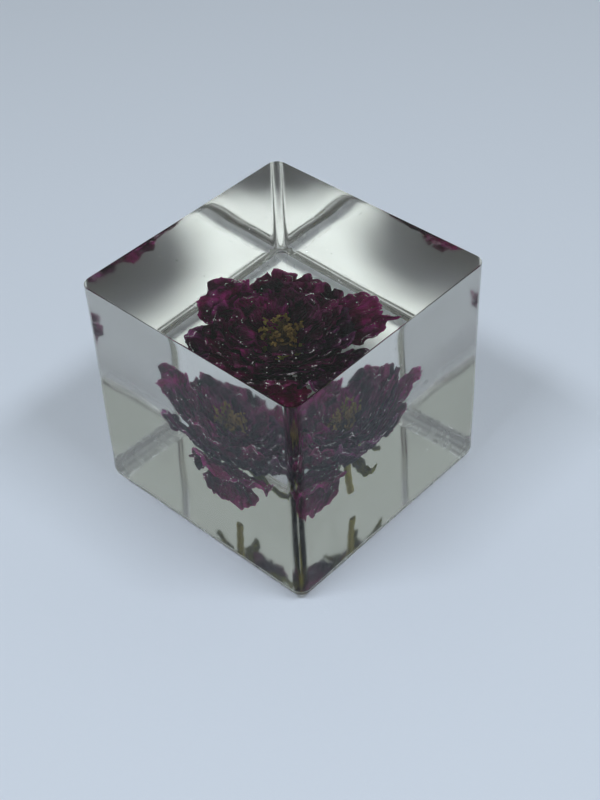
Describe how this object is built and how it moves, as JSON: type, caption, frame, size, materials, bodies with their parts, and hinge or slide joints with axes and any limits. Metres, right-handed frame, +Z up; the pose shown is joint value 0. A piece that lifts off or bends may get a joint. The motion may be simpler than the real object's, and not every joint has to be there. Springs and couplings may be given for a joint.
{
  "type": "rose in resin cube",
  "caption": "Small clear cast resin block that stands on its rounded foot, with a dried dark red rose sealed inside, petals, sepals, stamens and a short stem.",
  "frame": {"origin": "middle of the underside, on the surface it stands on", "axes": "+Z up; -Y and +X are the two side faces that show in front"},
  "size_m": [0.05, 0.05, 0.047],
  "materials": {
    "resin": "clear polished casting with a faint grey-green tint, air bubbles and fine scratches",
    "petals": "dried crumpled petals, near black to magenta, with a film of tiny bubbles",
    "sepals": "dried olive green, leathery",
    "stem": "dried yellow-green stem with a pale cut end",
    "stamens": "dusty ochre anthers on thin filaments"
  },
  "bodies": {
    "root": {"resin_lower": "resin", "resin_upper": "resin", "stem": "stem", "stamens": "stamens", "sepal_1": "sepals", "sepal_2": "sepals", "sepal_3": "sepals", "sepal_4": "sepals", "sepal_5": "sepals", "petal_01": "petals", "petal_02": "petals", "petal_03": "petals", "petal_04": "petals", "petal_05": "petals", "petal_06": "petals", "petal_07": "petals", "petal_08": "petals", "petal_09": "petals", "petal_10": "petals", "petal_11": "petals", "petal_12": "petals", "petal_13": "petals", "petal_14": "petals", "petal_15": "petals", "petal_16": "petals", "petal_17": "petals", "petal_18": "petals", "petal_19": "petals", "petal_20": "petals", "petal_21": "petals", "petal_22": "petals", "petal_23": "petals", "petal_24": "petals", "petal_25": "petals", "petal_26": "petals", "petal_point": "petals", "petal_left": "petals", "petal_front": "petals", "petal_back": "petals", "petal_front_left": "petals", "petal_right": "petals", "petal_back_low": "petals", "petal_front_low": "petals", "petal_left_low": "petals", "petal_droop": "petals"}
  },
  "joints": []
}
